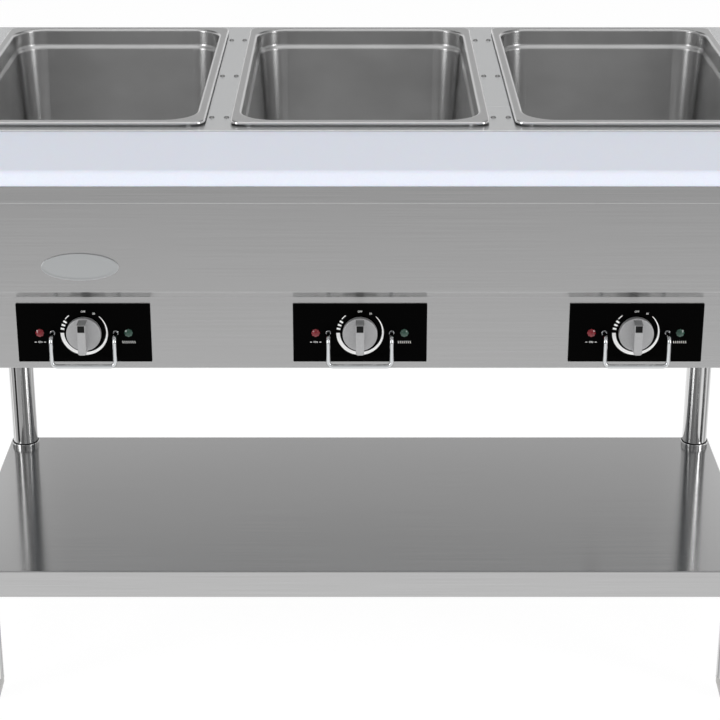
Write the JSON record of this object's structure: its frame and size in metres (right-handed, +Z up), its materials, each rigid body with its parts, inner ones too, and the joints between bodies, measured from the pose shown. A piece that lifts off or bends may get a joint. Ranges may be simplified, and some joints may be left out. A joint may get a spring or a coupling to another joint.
{
  "type": "electric hot food table",
  "caption": "Stainless electric hot food table: wells with lift-out food pans, a front cutting board, guarded rotary heat controls and an undershelf on tube legs.",
  "frame": {"origin": "on the floor under the middle of the whole table", "axes": "+Z up, +X to the right seen from the front, the controls and board face -Y"},
  "size_m": [1.13, 0.7462, 0.87],
  "materials": {
    "body_steel": "brushed stainless sheet",
    "pan_steel": "drawn stainless with a satin finish",
    "liner_steel": "plain stainless sheet",
    "leg_steel": "polished stainless tube",
    "guard_chrome": "bright plated wire",
    "board_poly": "white polyethylene, lightly textured",
    "plate_black": "black overlay with white print",
    "knob_silver": "moulded, satin silver",
    "pointer_black": "moulded black inset",
    "lens_red": "clear red lens",
    "lens_green": "clear green lens",
    "moulded_black": "moulded black housing",
    "shaft_steel": "turned steel",
    "element_sheath": "heat-darkened alloy tube",
    "glass_wool": "glass-wool blanket",
    "badge_aluminium": "bare satin oval",
    "fastener_steel": "plain stainless",
    "foot_steel": "turned stainless"
  },
  "bodies": {
    "frame": {"top_deck": "body_steel", "front_fascia": "body_steel", "control_panel": "body_steel", "side_panel_left": "body_steel", "side_panel_right": "body_steel", "rear_panel": "body_steel", "bottom_cover": "body_steel", "cover_screws": "fastener_steel", "well_insulation": "glass_wool", "element_clips": "fastener_steel", "board_pins": "fastener_steel", "board_tray": "body_steel", "board_brackets": "body_steel", "badge": "badge_aluminium", "control_switches": "moulded_black", "power_lamps": "lens_red", "heating_lamps": "lens_green", "lamp_bodies": "moulded_black", "guard_nuts": "fastener_steel", "terminal_block": "moulded_black", "cable_gland": "moulded_black", "leg_sockets": "leg_steel", "set_screws": "fastener_steel", "foot_inserts": "fastener_steel", "undershelf": "body_steel", "shelf_collars": "leg_steel", "shelf_stiffener": "body_steel", "well_liner_left": "liner_steel", "heating_element_left": "element_sheath", "control_plate_left": "plate_black", "knob_guard_left": "guard_chrome", "well_liner_centre": "liner_steel", "heating_element_centre": "element_sheath", "control_plate_centre": "plate_black", "knob_guard_centre": "guard_chrome", "well_liner_right": "liner_steel", "heating_element_right": "element_sheath", "control_plate_right": "plate_black", "knob_guard_right": "guard_chrome", "leg_front_left": "leg_steel", "leg_front_right": "leg_steel", "leg_rear_left": "leg_steel", "leg_rear_right": "leg_steel"},
    "knob_left": {"knob_left": "knob_silver", "knob_pointer_left": "pointer_black", "switch_shaft_left": "shaft_steel"},
    "knob_centre": {"knob_centre": "knob_silver", "knob_pointer_centre": "pointer_black", "switch_shaft_centre": "shaft_steel"},
    "knob_right": {"knob_right": "knob_silver", "knob_pointer_right": "pointer_black", "switch_shaft_right": "shaft_steel"},
    "food_pan_left": {"food_pan_left": "pan_steel"},
    "food_pan_centre": {"food_pan_centre": "pan_steel"},
    "food_pan_right": {"food_pan_right": "pan_steel"},
    "cutting_board": {"cutting_board": "board_poly"},
    "foot_front_left": {"foot_front_left": "foot_steel"},
    "foot_front_right": {"foot_front_right": "foot_steel"},
    "foot_rear_left": {"foot_rear_left": "foot_steel"},
    "foot_rear_right": {"foot_rear_right": "foot_steel"}
  },
  "joints": [
    {"name": "knob_left_turn", "type": "hinge", "parent": "frame", "child": "knob_left", "pos_m": [-0.3556, -0.19365, 0.59275], "axis": [0, 1, 0], "range_deg": [0, 315]},
    {"name": "knob_centre_turn", "type": "hinge", "parent": "frame", "child": "knob_centre", "pos_m": [0, -0.19365, 0.59275], "axis": [0, 1, 0], "range_deg": [0, 315]},
    {"name": "knob_right_turn", "type": "hinge", "parent": "frame", "child": "knob_right", "pos_m": [0.3556, -0.19365, 0.59275], "axis": [0, 1, 0], "range_deg": [0, 315]},
    {"name": "pan_left_lift", "type": "slide", "parent": "frame", "child": "food_pan_left", "axis": [0, 0, 1], "range_m": [0, 0.2]},
    {"name": "pan_centre_lift", "type": "slide", "parent": "frame", "child": "food_pan_centre", "axis": [0, 0, 1], "range_m": [0, 0.2]},
    {"name": "pan_right_lift", "type": "slide", "parent": "frame", "child": "food_pan_right", "axis": [0, 0, 1], "range_m": [0, 0.2]},
    {"name": "board_lift", "type": "slide", "parent": "frame", "child": "cutting_board", "axis": [0, 0, 1], "range_m": [0, 0.08]},
    {"name": "foot_front_left_level", "type": "slide", "parent": "frame", "child": "foot_front_left", "axis": [0, 0, -1], "range_m": [0, 0.025]},
    {"name": "foot_front_right_level", "type": "slide", "parent": "frame", "child": "foot_front_right", "axis": [0, 0, -1], "range_m": [0, 0.025]},
    {"name": "foot_rear_left_level", "type": "slide", "parent": "frame", "child": "foot_rear_left", "axis": [0, 0, -1], "range_m": [0, 0.025]},
    {"name": "foot_rear_right_level", "type": "slide", "parent": "frame", "child": "foot_rear_right", "axis": [0, 0, -1], "range_m": [0, 0.025]}
  ]
}
